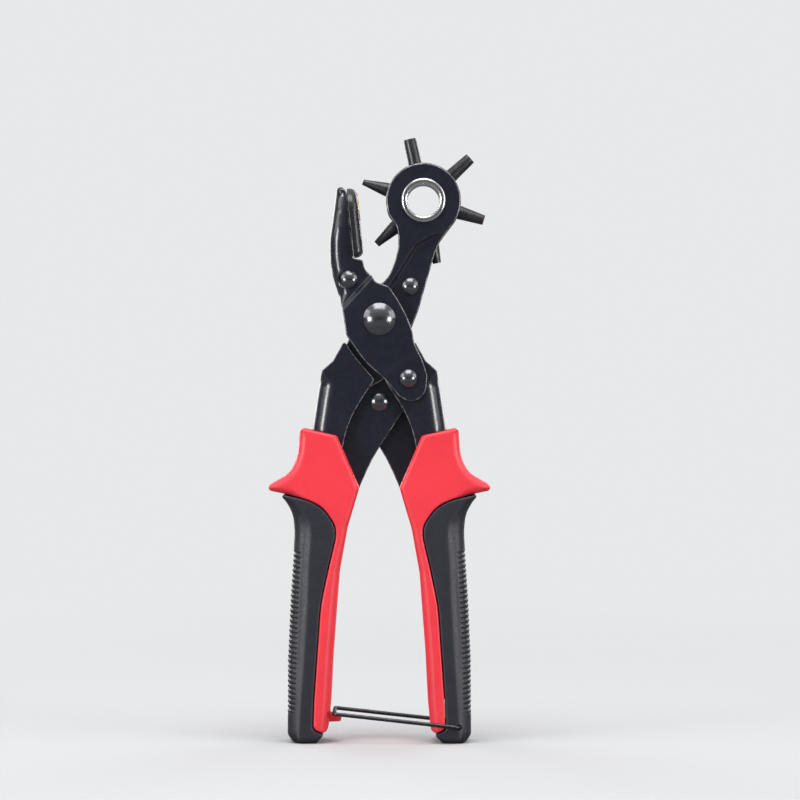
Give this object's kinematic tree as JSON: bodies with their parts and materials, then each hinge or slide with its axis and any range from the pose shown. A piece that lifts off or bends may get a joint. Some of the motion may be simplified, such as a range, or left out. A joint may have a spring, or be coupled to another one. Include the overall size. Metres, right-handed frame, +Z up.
{
  "type": "rotary hole punch",
  "caption": "Compound-leverage leather punch plier with a revolving wheel of hollow punch tubes, a brass anvil, two-part moulded grips and a wire latch.",
  "frame": {"origin": "the bottom centre of the closed tool's box, right below the main pivot's axis, half-way through the tool's thickness", "axes": "+Y along the pivot axes towards the back of the tool, +Z up along the tool from the grips towards the jaws, +X to the right, the punch wheel's side, seen from the front"},
  "size_m": [0.0838, 0.0258, 0.2293],
  "materials": {
    "painted_steel": "glossy black paint with a faint blue cast on pressed steel",
    "rivet_steel": "gloss black domed rivet heads",
    "bare_steel": "plain turned steel, lightly oiled",
    "spring_steel": "dark spring wire and strip",
    "nickel": "bright nickel plate",
    "tube_steel": "dark phosphated hardened steel",
    "brass": "satin brass with light turning marks",
    "black_plastic": "semi-gloss moulded black plastic",
    "red_plastic": "satin-gloss moulded red plastic",
    "black_grip": "fine-grained matt black moulding, ribbed outer face"
  },
  "bodies": {
    "pivot": {"main_pivot_rivet": "rivet_steel", "pivot_sleeve": "bare_steel", "pivot_washer_front": "bare_steel", "pivot_washer_back": "bare_steel", "opening_spring": "spring_steel"},
    "anvil_jaw": {"anvil_jaw_channel": "painted_steel", "anvil_plate": "black_plastic", "anvil_brass_disc": "brass", "anvil_neck_rivet": "rivet_steel", "anvil_neck_spacer": "bare_steel", "anvil_link_pin": "rivet_steel", "anvil_link_spacer_front": "bare_steel", "anvil_link_spacer_back": "bare_steel"},
    "wheel_jaw": {"wheel_jaw_front_plate": "painted_steel", "wheel_jaw_back_plate": "painted_steel", "wheel_neck_rivet": "rivet_steel", "wheel_neck_spacer": "bare_steel", "wheel_link_pin": "bare_steel", "wheel_link_spacer": "bare_steel", "wheel_eyelet": "nickel", "wheel_wave_washer": "spring_steel"},
    "punch_wheel": {"wheel_hub": "tube_steel", "punch_tube_1": "tube_steel", "punch_tube_2": "tube_steel", "punch_tube_3": "tube_steel", "punch_tube_4": "tube_steel", "punch_tube_5": "tube_steel", "punch_tube_6": "tube_steel"},
    "left_handle": {"left_handle_channel": "painted_steel", "left_lever": "painted_steel", "left_grip_red": "red_plastic", "left_grip_black": "black_grip", "left_lever_rivet_upper": "bare_steel", "left_lever_rivet_lower": "bare_steel", "lever_crossing_pin": "rivet_steel"},
    "right_handle": {"right_handle_channel": "painted_steel", "right_lever": "painted_steel", "right_grip_red": "red_plastic", "right_grip_black": "black_grip", "right_lever_rivet_upper": "bare_steel", "right_lever_rivet_lower": "bare_steel"},
    "latch_bail": {"latch_bail": "spring_steel"}
  },
  "joints": [
    {"name": "anvil_jaw_pivot", "type": "hinge", "parent": "pivot", "child": "anvil_jaw", "pos_m": [0, 0, 0.1603], "axis": [0, -1, 0], "range_deg": [0, 4]},
    {"name": "wheel_jaw_pivot", "type": "hinge", "parent": "pivot", "child": "wheel_jaw", "pos_m": [0, 0, 0.1603], "axis": [0, 1, 0], "range_deg": [0, 4]},
    {"name": "left_handle_hinge", "type": "hinge", "parent": "anvil_jaw", "child": "left_handle", "pos_m": [0.011, 0, 0.1379], "axis": [0, 1, 0], "range_deg": [0, 15.5]},
    {"name": "right_handle_hinge", "type": "hinge", "parent": "wheel_jaw", "child": "right_handle", "pos_m": [-0.011, 0, 0.1379], "axis": [0, -1, 0], "range_deg": [0, 15.5]},
    {"name": "punch_wheel_spin", "type": "hinge", "parent": "wheel_jaw", "child": "punch_wheel", "pos_m": [0.0167, 0, 0.2053], "axis": [0, 1, 0], "continuous": true},
    {"name": "latch_bail_hinge", "type": "hinge", "parent": "right_handle", "child": "latch_bail", "pos_m": [0.03, 0, 0.0063], "axis": [0, 1, 0], "range_deg": [0, 60]}
  ],
  "couplings": [
    {"joint": "anvil_jaw_pivot", "follows": "left_handle_hinge", "ratio": 0.258},
    {"joint": "wheel_jaw_pivot", "follows": "left_handle_hinge", "ratio": 0.258},
    {"joint": "right_handle_hinge", "follows": "left_handle_hinge", "ratio": 1}
  ]
}
